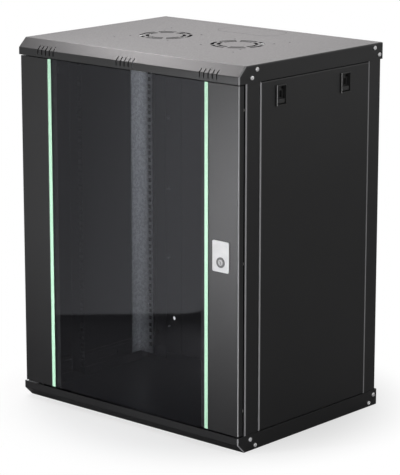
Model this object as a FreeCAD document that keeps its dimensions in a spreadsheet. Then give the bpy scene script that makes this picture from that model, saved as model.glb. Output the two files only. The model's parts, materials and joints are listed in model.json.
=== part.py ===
"""Wall mount network cabinet, 15 rack units, 600 mm wide and 450 mm deep, as a parametric assembly.

Frame: millimetres, +X to the right of someone facing the glass door, the door faces -Y, +Z up.
The origin is the centre of the base. Front distances are measured back from the front of the covers.
Every sub-part is a document object of its own, bound to the spreadsheet "Sizes".
"""
import FreeCAD, Part
import math
import os
import Sketcher

SIZES = (
    # the cabinet and its rack bay
    ("width", 600.0),
    ("depth", 450.0),
    ("rack_units", 15),
    ("unit_pitch", 44.45),
    ("end_space", 51.625),
    # top and bottom covers: folded pans with a chamfered nose
    ("cover_sheet", 1.5),
    ("cover_bend", 2.5),
    ("skirt_height", 34.0),
    ("nose_drop", 19.0),
    ("nose_run", 20.0),
    # roof vents for two fans, and the holes of a roof fan tray
    ("vent_offset", 98.0),
    ("vent_front", 230.0),
    ("vent_arcs", 7),
    ("vent_outer_radius", 52.0),
    ("vent_inner_radius", 39.0),
    ("vent_slot", 7.0),
    ("vent_web", 9.0),
    ("fan_hole_spacing", 105.0),
    ("fan_hole_radius", 2.25),
    ("tray_hole_x", 324.0),
    ("tray_hole_y", 176.0),
    ("tray_hole_radius", 2.0),
    # ventilation slots over the bend of the nose
    ("nose_slot_count", 5),
    ("nose_slot_pitch", 11.0),
    ("nose_slot_width", 2.6),
    ("nose_slot_group", 221.0),
    ("nose_slot_rise", 7.6),
    ("nose_slot_fall", 10.0),
    # cable entries closed by a half-sheared knockout
    ("knockout_width", 155.0),
    ("knockout_depth", 77.0),
    ("knockout_radius", 28.0),
    ("knockout_edge", 20.0),
    ("knockout_groove", 0.8),
    ("knockout_score", 0.5),
    ("rear_entry_width", 300.0),
    ("rear_entry_level", 60.0),
    # screws that hold the covers to the posts
    ("cover_screw_radius", 2.4),
    ("cover_screw_clearance", 0.1),
    ("cover_screw_head_radius", 4.3),
    ("cover_screw_head_height", 2.4),
    ("cover_screw_length", 8.0),
    ("cover_screw_edge", 9.0),
    ("cover_screw_step", 15.0),
    ("cover_screw_front", 37.0),
    ("cover_screw_rear", 13.0),
    # corner posts
    ("post_sheet", 1.5),
    ("post_bend", 3.0),
    ("post_width", 40.0),
    ("post_front_flange", 30.5),
    ("post_rear_flange", 50.0),
    ("post_lip", 38.0),
    ("post_setback", 22.7),
    ("rear_setback", 5.2),
    # depth rails between the posts
    ("depth_rail_sheet", 1.5),
    ("depth_rail_bend", 2.5),
    ("depth_rail_height", 28.0),
    ("depth_rail_width", 19.0),
    ("depth_rail_level", 36.0),
    ("rail_slot_length", 70.0),
    ("rail_slot_width", 7.0),
    # 19 inch rack rails
    ("rack_opening", 450.0),
    ("rack_hole_span", 465.1),
    ("rack_hole", 9.5),
    ("rack_hole_first", 6.35),
    ("rack_hole_step", 15.875),
    ("rack_rail_sheet", 2.0),
    ("rack_rail_bend", 3.0),
    ("rail_inset", 34.5),
    ("rack_rail_depth", 27.0),
    ("rack_rail_end", 38.0),
    ("front_rail_setback", 107.0),
    ("rear_rail_setback", 324.0),
    ("rail_bolt_radius", 3.0),
    ("rail_bolt_clearance", 0.3),
    ("rail_bolt_rise", 14.0),
    ("rail_bolt_head", 10.0),
    ("rail_bolt_head_height", 4.0),
    # rear panel
    ("panel_sheet", 1.2),
    ("rear_panel_side_gap", 4.0),
    ("cover_gap", 1.0),
    ("wall_hole_inset", 27.0),
    ("wall_hole_end", 85.0),
    ("wall_hole_radius", 4.5),
    ("rear_screw_inset", 14.0),
    ("rear_screw_end", 30.0),
    ("rear_screw_count", 5),
    ("rear_screw_radius", 2.0),
    ("rear_screw_head_radius", 4.0),
    ("rear_screw_head_height", 2.0),
    ("rear_screw_length", 7.0),
    # side panels
    ("panel_flange", 12.0),
    ("panel_bend", 3.0),
    ("panel_gap", 1.0),
    ("panel_seat", 0.3),
    ("panel_tab_width", 30.0),
    ("panel_tab_drop", 8.0),
    ("panel_tab_play", 0.3),
    # slide latches of the side panels
    ("latch_front_inset", 60.3),
    ("latch_rear_inset", 77.8),
    ("latch_drop", 32.5),
    ("latch_width", 30.0),
    ("latch_height", 41.0),
    ("latch_wall", 1.2),
    ("latch_depth", 8.5),
    ("latch_floor", 1.5),
    ("latch_proud", 3.0),
    ("latch_rim", 1.0),
    ("slider_width", 24.0),
    ("slider_height", 28.0),
    ("slider_sheet", 3.0),
    ("slider_play", 0.3),
    ("slider_hole_width", 12.5),
    ("slider_hole_height", 13.0),
    ("slider_hole_top", 2.5),
    ("slider_grip_height", 9.0),
    ("slider_grip_depth", 5.0),
    ("slider_bolt_width", 10.0),
    # glass door
    ("door_setback", 3.0),
    ("door_thickness", 15.0),
    ("door_gap", 2.5),
    ("door_side_gap", 2.5),
    ("door_sheet", 1.2),
    ("door_bend", 2.2),
    ("door_lip", 15.0),
    ("stile_width", 88.5),
    ("glass_thickness", 4.0),
    ("glass_overlap", 12.0),
    ("tape_thickness", 1.0),
    ("strip_width", 10.0),
    # hinges
    ("hinge_inset", 8.0),
    ("hinge_setback", 10.5),
    ("hinge_pin_radius", 3.0),
    ("hinge_pin_fit", 0.05),
    ("hinge_pin_reach", 5.0),
    ("hinge_block_width", 14.0),
    ("hinge_block_depth", 11.6),
    ("hinge_block_height", 36.0),
    ("hinge_block_ear", 5.0),
    ("hinge_play", 0.3),
    ("collar_radius", 4.8),
    ("collar_height", 2.0),
    ("spring_radius", 4.0),
    ("spring_wire", 0.5),
    ("spring_turns", 6),
    ("lever_radius", 2.0),
    ("lever_length", 28.0),
    ("lever_drop", 8.0),
    ("bracket_sheet", 1.5),
    ("bracket_width", 34.0),
    ("bracket_leg", 22.0),
    ("bracket_screw_radius", 2.0),
    ("bracket_screw_head_radius", 3.6),
    ("bracket_screw_head_height", 1.8),
    # door lock
    ("lock_inset", 44.5),
    ("lock_drop", 2.0),
    ("lock_plate_width", 43.4),
    ("lock_plate_height", 62.3),
    ("lock_plate_rise", 11.7),
    ("lock_plate_radius", 3.5),
    ("lock_plate_thickness", 2.0),
    ("barrel_radius", 9.0),
    ("barrel_head_radius", 10.5),
    ("barrel_head_height", 0.8),
    ("barrel_clearance", 0.2),
    ("plug_radius", 6.0),
    ("plug_fit", 0.05),
    ("key_slot_width", 1.8),
    ("key_slot_height", 7.5),
    ("key_slot_depth", 9.0),
    ("key_slot_angle", 20.0),
    ("lock_nut_flats", 24.0),
    ("lock_nut_height", 4.0),
    ("cam_sheet", 2.5),
    ("cam_play", 0.5),
    ("cam_width", 16.0),
    ("cam_reach", 40.0),
    ("cam_square", 8.0),
    ("cam_screw_head_radius", 4.5),
    ("cam_screw_head_height", 2.5),
    # rubber buffers and earth stud
    ("buffer_radius", 4.0),
    ("buffer_play", 0.3),
    ("buffer_inset", 8.5),
    ("buffer_end", 48.5),
    ("earth_radius", 3.0),
    ("earth_height", 16.0),
    ("earth_offset", 200.0),
    ("earth_rear", 50.0),
    ("earth_nut_flats", 10.0),
    ("earth_nut_height", 5.0),
)

PLANE_AXES = {"XY": (0, 1, 2), "XZ": (0, 2, 1), "YZ": (1, 2, 0)}
TOUCH = 1e-4

doc = FreeCAD.newDocument("WallCabinet")
sheet = doc.addObject("Spreadsheet::Sheet", "Sizes")
parts = []


class Length:
    """A number together with the spreadsheet expression that gives it."""

    def __init__(self, value, text):
        self.value = value
        self.text = text

    def __add__(self, other):
        return combine(self, "+", other, self.value + number(other))

    def __radd__(self, other):
        return combine(other, "+", self, number(other) + self.value)

    def __sub__(self, other):
        return combine(self, "-", other, self.value - number(other))

    def __rsub__(self, other):
        return combine(other, "-", self, number(other) - self.value)

    def __mul__(self, other):
        return combine(self, "*", other, self.value * number(other))

    def __rmul__(self, other):
        return combine(other, "*", self, number(other) * self.value)

    def __truediv__(self, other):
        return combine(self, "/", other, self.value / number(other))

    def __rtruediv__(self, other):
        return combine(other, "/", self, number(other) / self.value)

    def __neg__(self):
        return combine(-1, "*", self, -self.value)


def number(size):
    return size.value if isinstance(size, Length) else size


def words(size):
    return size.text if isinstance(size, Length) else "(%r)" % size


def combine(left, sign, right, value):
    return Length(value, "(%s %s %s)" % (words(left), sign, words(right)))


def add_cell(alias, content):
    """Writes one cell of the sheet and returns the length it holds."""
    row = add_cell.row = add_cell.row + 1
    sheet.set("A%d" % row, alias)
    sheet.set("B%d" % row, content)
    sheet.setAlias("B%d" % row, alias)
    doc.recompute([sheet])
    return Length(float(getattr(sheet, alias)), "Sizes." + alias)


add_cell.row = 0


def derive(alias, length):
    """Keeps a worked out length as a formula in the sheet."""
    return add_cell(alias, "=" + length.text.replace("Sizes.", ""))


class Namespace:
    """The driving sizes, one attribute for each alias of the sheet."""


s = Namespace()
for alias, value in SIZES:
    setattr(s, alias, add_cell(alias, str(value)))

height = derive("height", s.rack_units * s.unit_pitch + 2 * s.end_space)
half_width = derive("half_width", s.width / 2)
front = derive("front", -s.depth / 2)
rear = derive("rear", s.depth / 2)
post_half = derive("post_half", half_width - s.cover_sheet)
post_front = derive("post_front", front + s.post_setback)
post_rear = derive("post_rear", rear - s.rear_setback)
skirt_top = derive("skirt_top", height - s.skirt_height)
door_front = derive("door_front", front + s.door_setback)
door_back = derive("door_back", door_front + s.door_thickness)
door_low = derive("door_low", s.skirt_height + s.door_gap)
door_high = derive("door_high", height - s.skirt_height - s.door_gap)
door_half = derive("door_half", half_width - s.door_side_gap)
glass_half = derive("glass_half", door_half - s.stile_width)
hinge_x = derive("hinge_x", s.hinge_inset - door_half)
hinge_y = derive("hinge_y", front + s.hinge_setback)
panel_low = derive("panel_low", s.skirt_height + s.panel_seat)
panel_high = derive("panel_high", skirt_top - s.cover_gap)
panel_front = derive("panel_front", post_front + s.post_width + s.panel_gap)
panel_rear = derive("panel_rear", post_rear - s.post_width - s.panel_gap)
latch_front = derive("latch_front", panel_front + s.latch_front_inset)
latch_rear = derive("latch_rear", panel_rear - s.latch_rear_inset)
latch_level = derive("latch_level", panel_high - s.latch_drop)
lock_x = derive("lock_x", door_half - s.lock_inset)
lock_z = derive("lock_z", height / 2 - s.lock_drop)
earth_y = derive("earth_y", rear - s.earth_rear)
rack_rail_half = derive("rack_rail_half", post_half - s.rail_inset)
wall_hole_x = derive("wall_hole_x", post_half - s.wall_hole_inset)
front_rail_y = derive("front_rail_y", front + s.front_rail_setback)
rear_rail_y = derive("rear_rail_y", front + s.rear_rail_setback)
front_bolt_y = derive("front_bolt_y", front_rail_y + s.rack_rail_depth / 2)
rear_bolt_y = derive("rear_bolt_y", rear_rail_y - s.rack_rail_depth / 2)
low_bolt_z = derive("low_bolt_z", s.depth_rail_level + s.rail_bolt_rise)
high_bolt_z = derive("high_bolt_z", height - low_bolt_z)


def bind(feature, prop, length):
    feature.setExpression(prop, words(length))


def new_body(label):
    body = doc.addObject("PartDesign::Body", label)
    body.Label = label
    parts.append(body)
    return body


def new_sketch(body, plane, at=0, origin=(0, 0)):
    """A sketch on one of the body's own planes, moved to `at` along that plane's axis."""
    sketch = body.newObject("Sketcher::SketchObject", "Sketch")
    support = next(f for f in body.Origin.OriginFeatures if f.Role == plane + "_Plane")
    sketch.AttachmentSupport = [(support, "")]
    sketch.MapMode = "FlatFace"
    bind(sketch, "AttachmentOffset.Base.x", origin[0])
    bind(sketch, "AttachmentOffset.Base.y", origin[1])
    bind(sketch, "AttachmentOffset.Base.z", at * -1 if plane == "XZ" else at)
    return sketch


def dimension(sketch, kind, element, point, size):
    index = sketch.addConstraint(Sketcher.Constraint(kind, -1, 1, element, point, number(size)))
    sketch.setExpression("Constraints[%d]" % index, words(size))


def polygon(sketch, points):
    """A closed outline, each corner held by its two distances from the sketch's origin."""
    corners = [FreeCAD.Vector(number(u), number(v), 0) for u, v in points]
    first = sketch.GeometryCount
    count = len(corners)
    for i in range(count):
        sketch.addGeometry(Part.LineSegment(corners[i], corners[(i + 1) % count]))
    for i in range(count):
        follower = first + (i + 1) % count
        sketch.addConstraint(Sketcher.Constraint("Coincident", first + i, 2, follower, 1))
    for i, (u, v) in enumerate(points):
        dimension(sketch, "DistanceX", first + i, 1, u)
        dimension(sketch, "DistanceY", first + i, 1, v)


def rectangle(sketch, low_u, high_u, low_v, high_v):
    polygon(sketch, [(low_u, low_v), (high_u, low_v), (high_u, high_v), (low_u, high_v)])


def centred_rectangle(sketch, u, v, width, tall):
    rectangle(sketch, u - width / 2, u + width / 2, v - tall / 2, v + tall / 2)


def circle(sketch, u, v, radius):
    centre = FreeCAD.Vector(number(u), number(v), 0)
    index = sketch.addGeometry(Part.Circle(centre, FreeCAD.Vector(0, 0, 1), number(radius)))
    dimension(sketch, "DistanceX", index, 3, u)
    dimension(sketch, "DistanceY", index, 3, v)
    held = sketch.addConstraint(Sketcher.Constraint("Radius", index, number(radius)))
    sketch.setExpression("Constraints[%d]" % held, words(radius))


def slot(sketch, u, v, length, width):
    """A slot with round ends along the sketch's first axis, centred on (u, v)."""
    reach = number(length) / 2 - number(width) / 2
    radius = number(width) / 2
    left = FreeCAD.Vector(number(u) - reach, number(v), 0)
    right = FreeCAD.Vector(number(u) + reach, number(v), 0)
    up = FreeCAD.Vector(0, radius, 0)
    normal = FreeCAD.Vector(0, 0, 1)
    ends = [Part.ArcOfCircle(Part.Circle(left, normal, radius), math.pi / 2, 3 * math.pi / 2),
            Part.ArcOfCircle(Part.Circle(right, normal, radius), -math.pi / 2, math.pi / 2)]
    first = sketch.GeometryCount
    sketch.addGeometry(ends[0])
    sketch.addGeometry(Part.LineSegment(left - up, right - up))
    sketch.addGeometry(ends[1])
    sketch.addGeometry(Part.LineSegment(right + up, left + up))
    for one, end, other, start in ((0, 2, 1, 1), (1, 2, 2, 1), (2, 2, 3, 1), (3, 2, 0, 1)):
        sketch.addConstraint(
            Sketcher.Constraint("Tangent", first + one, end, first + other, start))
    dimension(sketch, "DistanceX", first, 3, u - (length - width) / 2)
    dimension(sketch, "DistanceY", first, 3, v)
    dimension(sketch, "DistanceX", first + 2, 3, u + (length - width) / 2)
    dimension(sketch, "DistanceY", first + 2, 3, v)
    held = sketch.addConstraint(Sketcher.Constraint("Radius", first, radius))
    sketch.setExpression("Constraints[%d]" % held, words(width / 2))


def hexagon(sketch, u, v, flats):
    side = flats / math.sqrt(3)
    half = flats / 2
    polygon(sketch, [(u - half, v - side / 2), (u, v - side), (u + half, v - side / 2),
                     (u + half, v + side / 2), (u, v + side), (u - half, v + side / 2)])


def pad(body, sketch, plane, length):
    """Pads a sketch towards the positive end of its plane's axis."""
    feature = body.newObject("PartDesign::Pad", "Pad")
    feature.Profile = sketch
    feature.Reversed = plane == "XZ"
    bind(feature, "Length", length)
    doc.recompute()
    return feature


def cut(body, sketch, reach):
    """Cuts a sketch's outline to both sides of its plane, and checks that it removed something."""
    before = body.Shape.Volume
    feature = body.newObject("PartDesign::Pocket", "Pocket")
    feature.Profile = sketch
    feature.SideType = "Symmetric"
    bind(feature, "Length", 2 * reach)
    doc.recompute()
    if body.Shape.Volume > before - TOUCH:
        raise ValueError("a pocket of %s cut nothing" % body.Label)
    return feature


def cut_from(body, sketch, plane, depth, towards):
    """Cuts a sketch to one side only: towards is 1 for the positive end of the plane's axis."""
    before = body.Shape.Volume
    feature = body.newObject("PartDesign::Pocket", "Pocket")
    feature.Profile = sketch
    feature.Reversed = (towards > 0) != (plane == "XZ")
    bind(feature, "Length", depth)
    doc.recompute()
    if body.Shape.Volume > before - TOUCH:
        raise ValueError("a pocket of %s cut nothing" % body.Label)
    return feature


def round_edges(body, chosen, radius):
    """Fillets the edges of the body's last feature that the test picks."""
    tip = body.Tip
    names = ["Edge%d" % i for i, edge in enumerate(tip.Shape.Edges, 1) if chosen(edge)]
    if not names:
        raise ValueError("no edge of %s to round" % body.Label)
    feature = body.newObject("PartDesign::Fillet", "Fillet")
    feature.Base = (tip, names)
    bind(feature, "Radius", radius)
    doc.recompute()
    return feature


def along(plane, places):
    """A test for straight edges that run along the plane's axis through one of the places."""
    first, second, _ = PLANE_AXES[plane]

    def chosen(edge):
        ends = [v.Point for v in edge.Vertexes]
        if len(ends) != 2:
            return False
        return any(all(abs(p[first] - number(u)) < TOUCH and abs(p[second] - number(v)) < TOUCH
                       for p in ends) for u, v in places)

    return chosen


def strip_outline(path, side, thickness):
    """The outline of a sheet folded at right angles, and its outer and inner bend corners.

    path runs along one face of the sheet. side is 1 when the sheet lies to the left of it.
    """
    steps = []
    for (u0, v0), (u1, v1) in zip(path, path[1:]):
        du = number(u1) - number(u0)
        dv = number(v1) - number(v0)
        size = abs(du) + abs(dv)
        steps.append((du / size, dv / size))
    offset = []
    outer = []
    inner = []
    for i, (u, v) in enumerate(path):
        near = steps[max(i - 1, 0)]
        far = steps[min(i, len(steps) - 1)]
        shift_u = 0
        shift_v = 0
        for step in {near, far}:
            shift_u += -step[1] * side
            shift_v += step[0] * side
        moved = (u + round(shift_u) * thickness, v + round(shift_v) * thickness)
        offset.append(moved)
        turn = near[0] * far[1] - near[1] * far[0]
        if turn * side > 0:
            outer.append((u, v))
            inner.append(moved)
        elif turn * side < 0:
            outer.append(moved)
            inner.append((u, v))
    return path + offset[::-1], outer, inner


def folded(label, plane, path, side, thickness, bend, start, length):
    """A folded sheet profile of constant section."""
    body = new_body(label)
    outline, outer, inner = strip_outline(path, side, thickness)
    sketch = new_sketch(body, plane, start)
    polygon(sketch, outline)
    pad(body, sketch, plane, length)
    round_edges(body, along(plane, outer), bend)
    round_edges(body, along(plane, inner), bend - thickness)
    return body


def row_of(body, feature, sketch, axis, count, span):
    """Repeats a feature count times over a span along an axis of its sketch."""
    pattern = body.newObject("PartDesign::LinearPattern", "Row")
    pattern.Originals = [feature]
    pattern.Direction = (sketch, [axis])
    bind(pattern, "Length", span)
    bind(pattern, "Occurrences", count)
    body.Tip = pattern
    doc.recompute()
    return pattern


def knockout(body, plane, at, u, v, width, tall, radius):
    """A half-sheared cable entry: a shallow groove that outlines the piece to be knocked out."""
    sketch = new_sketch(body, plane, at)
    groove = s.knockout_groove
    centred_rectangle(sketch, u, v, width, tall)
    centred_rectangle(sketch, u, v, width - 2 * groove, tall - 2 * groove)
    cut(body, sketch, s.knockout_score)
    outer = [(u + i * width / 2, v + j * tall / 2) for i in (-1, 1) for j in (-1, 1)]
    inner = [(u + i * (width / 2 - groove), v + j * (tall / 2 - groove))
             for i in (-1, 1) for j in (-1, 1)]
    round_edges(body, along(plane, outer), radius)
    round_edges(body, along(plane, inner), radius - groove)


def cover_screw_places():
    """Front distance and edge distance of the four screws at one end of a skirt."""
    near = s.cover_screw_edge
    far = s.cover_screw_edge + s.cover_screw_step
    return [(front + s.cover_screw_front, far),
            (front + s.cover_screw_front + s.cover_screw_step, near),
            (rear - s.cover_screw_rear, far),
            (rear - s.cover_screw_rear - s.cover_screw_step, near)]


def level(distance, top):
    """Height of something a distance in from the top, or from the bottom."""
    return height - distance if top else distance


def cover(label, top):
    """A folded pan with a chamfered nose, skirts all round and holes for the side screws."""
    body = new_body(label)
    sketch = new_sketch(body, "YZ", -half_width)
    polygon(sketch, [(front, level(s.skirt_height, top)), (front, level(s.nose_drop, top)),
                     (front + s.nose_run, level(0 * s.width, top)), (rear, level(0 * s.width, top)),
                     (rear, level(s.skirt_height, top))])
    block = pad(body, sketch, "YZ", s.width)
    rim = number(level(s.skirt_height, top))
    surface = block.Shape.copy()
    open_face = ["Face%d" % i for i, face in enumerate(surface.Faces, 1)
                 if abs(face.CenterOfMass.z - rim) < TOUCH]
    shell = body.newObject("PartDesign::Thickness", "Shell")
    shell.Base = (block, open_face)
    shell.Reversed = True
    shell.Join = "Intersection"
    bind(shell, "Value", s.cover_sheet)
    doc.recompute()

    def bend(edge):
        middle = Part.Vertex(edge.valueAt((edge.FirstParameter + edge.LastParameter) / 2))
        beside_rim = all(abs(v.Z - rim) < TOUCH for v in edge.Vertexes)
        return not beside_rim and any(e.distToShape(middle)[0] < TOUCH for e in surface.Edges)

    round_edges(body, bend, s.cover_bend)
    holes = new_sketch(body, "YZ")
    for y, edge in cover_screw_places():
        circle(holes, y, level(edge, top), s.cover_screw_radius + s.cover_screw_clearance)
    cut(body, holes, half_width + s.cover_sheet)
    return body


def top_cover():
    body = cover("top_cover", True)
    roof = height - s.cover_sheet / 2
    vent_y = front + s.vent_front
    for hand in (-1, 1):
        centre = hand * s.vent_offset
        ring = new_sketch(body, "XZ", vent_y, (centre, roof))
        for radius in (s.vent_inner_radius, s.vent_outer_radius):
            centred_rectangle(ring, hand * radius, 0 * s.width, s.vent_slot, 2 * s.cover_sheet)
        arc = body.newObject("PartDesign::Groove", "VentArc")
        arc.Profile = ring
        arc.ReferenceAxis = (ring, ["V_Axis"])
        arc.Midplane = True
        bind(arc, "Angle", 360 / s.vent_arcs - s.vent_web)
        around = body.newObject("PartDesign::PolarPattern", "VentRing")
        around.Originals = [arc]
        around.Axis = (ring, ["V_Axis"])
        around.Angle = 360
        bind(around, "Occurrences", s.vent_arcs)
        body.Tip = around
        doc.recompute()
    holes = new_sketch(body, "XY", roof)
    for hand in (-1, 1):
        for i in (-1, 1):
            for j in (-1, 1):
                circle(holes, hand * s.vent_offset + i * s.fan_hole_spacing / 2,
                       vent_y + j * s.fan_hole_spacing / 2, s.fan_hole_radius)
        for j in (-1, 1):
            circle(holes, hand * s.tray_hole_x / 2, vent_y + j * s.tray_hole_y / 2,
                   s.tray_hole_radius)
    cut(body, holes, 2 * s.cover_sheet)
    bend_z = height - s.nose_drop
    for group in (-1, 0, 1):
        first = group * s.nose_slot_group - (s.nose_slot_count - 1) * s.nose_slot_pitch / 2
        sketch = new_sketch(body, "XZ", front, (first, bend_z))
        rectangle(sketch, -s.nose_slot_width / 2, s.nose_slot_width / 2,
                  -s.nose_slot_fall, s.nose_slot_rise)
        opening = cut_from(body, sketch, "XZ", s.nose_run / 2, 1)
        row_of(body, opening, sketch, "H_Axis", s.nose_slot_count,
               (s.nose_slot_count - 1) * s.nose_slot_pitch)
    knockout(body, "XY", height, 0 * s.width, rear - s.knockout_edge - s.knockout_depth / 2,
             s.knockout_width, s.knockout_depth, s.knockout_radius)
    return body


def bottom_cover():
    body = cover("bottom_cover", False)
    knockout(body, "XY", 0 * s.width, 0 * s.width,
             rear - s.knockout_edge - s.knockout_depth / 2,
             s.knockout_width, s.knockout_depth, s.knockout_radius)
    return body


def post(label, hand, at_front):
    """A corner post: a U section whose web is the cabinet's outer side."""
    if at_front:
        flange_y = post_front
        lip_y = post_front + s.post_width
        flange = s.post_front_flange
        side = hand
    else:
        flange_y = post_rear
        lip_y = post_rear - s.post_width
        flange = s.post_rear_flange
        side = -hand
    path = [(hand * (post_half - flange), flange_y), (hand * post_half, flange_y),
            (hand * post_half, lip_y), (hand * (post_half - s.post_lip), lip_y)]
    body = folded(label, "XY", path, side, s.post_sheet, s.post_bend,
                  s.cover_sheet, height - 2 * s.cover_sheet)
    holes = new_sketch(body, "YZ", hand * post_half)
    places = cover_screw_places()[:2] if at_front else cover_screw_places()[2:]
    for top in (False, True):
        for y, edge in places:
            circle(holes, y, level(edge, top), s.cover_screw_radius + s.cover_screw_clearance)
    cut(body, holes, 2 * s.post_sheet)
    if not at_front:
        wall = new_sketch(body, "XZ", post_rear)
        for j in (-1, 1):
            circle(wall, hand * wall_hole_x, level(s.wall_hole_end, j > 0), s.wall_hole_radius)
        for z in rear_screw_levels():
            circle(wall, hand * (post_half - s.rear_screw_inset), z,
                   s.rear_screw_radius + s.cover_screw_clearance)
        cut(body, wall, 2 * s.post_sheet)
    return body


def rear_screw_levels():
    """Evenly spread heights up the rear panel."""
    count = int(number(s.rear_screw_count))
    first = s.skirt_height + s.cover_gap + s.rear_screw_end
    return [first + i * (height - 2 * first) / (count - 1) for i in range(count)]


def depth_rail(label, hand, top):
    """A U channel from post to post, with slots along which the rack rails are set."""
    inner = hand * rack_rail_half
    outer = hand * (rack_rail_half + s.depth_rail_width)
    web = level(s.depth_rail_level, top)
    lip = level(s.depth_rail_level + s.depth_rail_height, top)
    side = -hand if top else hand
    start = post_front + s.post_width
    length = post_rear - s.post_width - start
    path = [(inner, lip), (inner, web), (outer, web), (outer, lip)]
    body = folded(label, "XZ", path, side, s.depth_rail_sheet, s.depth_rail_bend,
                  start, length)
    slots = new_sketch(body, "YZ", inner)
    bolt_z = high_bolt_z if top else low_bolt_z
    for y in (front_bolt_y, (front_bolt_y + rear_bolt_y) / 2, rear_bolt_y):
        slot(slots, y, bolt_z, s.rail_slot_length, s.rail_slot_width)
    cut(body, slots, 2 * s.depth_rail_sheet)
    return body


def rack_rail(label, hand, at_front):
    """A rack rail: an angle with three square holes in each rack unit."""
    face_y = front_rail_y if at_front else rear_rail_y
    back = 1 if at_front else -1
    path = [(hand * s.rack_opening / 2, face_y), (hand * rack_rail_half, face_y),
            (hand * rack_rail_half, face_y + back * s.rack_rail_depth)]
    start = s.rack_rail_end
    body = folded(label, "XY", path, hand * back, s.rack_rail_sheet, s.rack_rail_bend,
                  start, height - 2 * start)
    unit = new_sketch(body, "XZ", face_y, (hand * s.rack_hole_span / 2, s.end_space))
    for i in range(3):
        centred_rectangle(unit, 0 * s.width, s.rack_hole_first + i * s.rack_hole_step,
                          s.rack_hole, s.rack_hole)
    holes = cut(body, unit, 2 * s.rack_rail_sheet)
    row_of(body, holes, unit, "V_Axis", s.rack_units, (s.rack_units - 1) * s.unit_pitch)
    bolts = new_sketch(body, "YZ", hand * rack_rail_half)
    for z in (low_bolt_z, high_bolt_z):
        circle(bolts, front_bolt_y if at_front else rear_bolt_y, z,
               s.rail_bolt_radius + s.rail_bolt_clearance)
    cut(body, bolts, 2 * s.rack_rail_sheet)
    return body


def rear_panel():
    body = new_body("rear_panel")
    sketch = new_sketch(body, "XZ", post_rear)
    half = post_half - s.rear_panel_side_gap
    rectangle(sketch, -half, half, s.skirt_height + s.cover_gap, skirt_top - s.cover_gap)
    pad(body, sketch, "XZ", s.panel_sheet)
    holes = new_sketch(body, "XZ", post_rear)
    for i in (-1, 1):
        for j in (-1, 1):
            circle(holes, i * wall_hole_x, level(s.wall_hole_end, j > 0), s.wall_hole_radius)
        for z in rear_screw_levels():
            circle(holes, i * (post_half - s.rear_screw_inset), z,
                   s.rear_screw_radius + s.cover_screw_clearance)
    cut(body, holes, 2 * s.panel_sheet)
    knockout(body, "XZ", post_rear + s.panel_sheet, 0 * s.width,
             s.rear_entry_level + s.knockout_depth / 2,
             s.rear_entry_width, s.knockout_depth, s.knockout_radius)
    return body


def pins(label, plane, places, stages):
    """Identical round fasteners: each stage is (start, length, radius) along the plane's axis."""
    body = new_body(label)
    for start, length, radius in stages:
        sketch = new_sketch(body, plane, start)
        for u, v in places:
            circle(sketch, u, v, radius)
        pad(body, sketch, plane, length)
    return body


def cover_screws():
    """Sixteen pan head screws, two at each corner of each side."""
    places = [(y, level(edge, top)) for top in (False, True) for y, edge in cover_screw_places()]
    head = s.cover_screw_head_height
    stages = []
    for hand in (-1, 1):
        head_start = half_width if hand > 0 else -half_width - head
        shank_start = half_width - s.cover_screw_length if hand > 0 else -half_width
        stages.append((head_start, head, s.cover_screw_head_radius))
        stages.append((shank_start, s.cover_screw_length, s.cover_screw_radius))
    body = pins("cover_screws", "YZ", places, stages)
    rim = number(half_width + head)
    round_edges(body, lambda e: all(abs(abs(v.X) - rim) < TOUCH for v in e.Vertexes),
                head / 2)
    return body


def rack_rail_bolts():
    """Hexagon head bolts through the rack rails and the slots of the depth rails."""
    places = [(y, z) for y in (front_bolt_y, rear_bolt_y) for z in (low_bolt_z, high_bolt_z)]
    body = new_body("rack_rail_bolts")
    inside = rack_rail_half - s.rack_rail_sheet
    shank = s.rack_rail_sheet + s.depth_rail_sheet + 2 * s.rail_bolt_head_height
    for hand in (-1, 1):
        start = inside - s.rail_bolt_head_height if hand > 0 else -inside
        head = new_sketch(body, "YZ", start)
        for y, z in places:
            hexagon(head, y, z, s.rail_bolt_head)
        pad(body, head, "YZ", s.rail_bolt_head_height)
        rod = new_sketch(body, "YZ", inside if hand > 0 else -inside - shank)
        for y, z in places:
            circle(rod, y, z, s.rail_bolt_radius)
        pad(body, rod, "YZ", shank)
    return body


def rack_rail_nuts():
    places = [(y, z) for y in (front_bolt_y, rear_bolt_y) for z in (low_bolt_z, high_bolt_z)]
    body = new_body("rack_rail_nuts")
    seat = rack_rail_half + s.depth_rail_sheet
    for hand in (-1, 1):
        sketch = new_sketch(body, "YZ", seat if hand > 0 else -seat - s.rail_bolt_head_height)
        for y, z in places:
            hexagon(sketch, y, z, s.rail_bolt_head)
            circle(sketch, y, z, s.rail_bolt_radius)
        pad(body, sketch, "YZ", s.rail_bolt_head_height)
    return body


def rear_panel_screws():
    places = [(i * (post_half - s.rear_screw_inset), z)
              for i in (-1, 1) for z in rear_screw_levels()]
    outside = post_rear + s.panel_sheet
    return pins("rear_panel_screws", "XZ", places, [
        (outside, s.rear_screw_head_height, s.rear_screw_head_radius),
        (outside - s.rear_screw_length, s.rear_screw_length, s.rear_screw_radius)])


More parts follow.
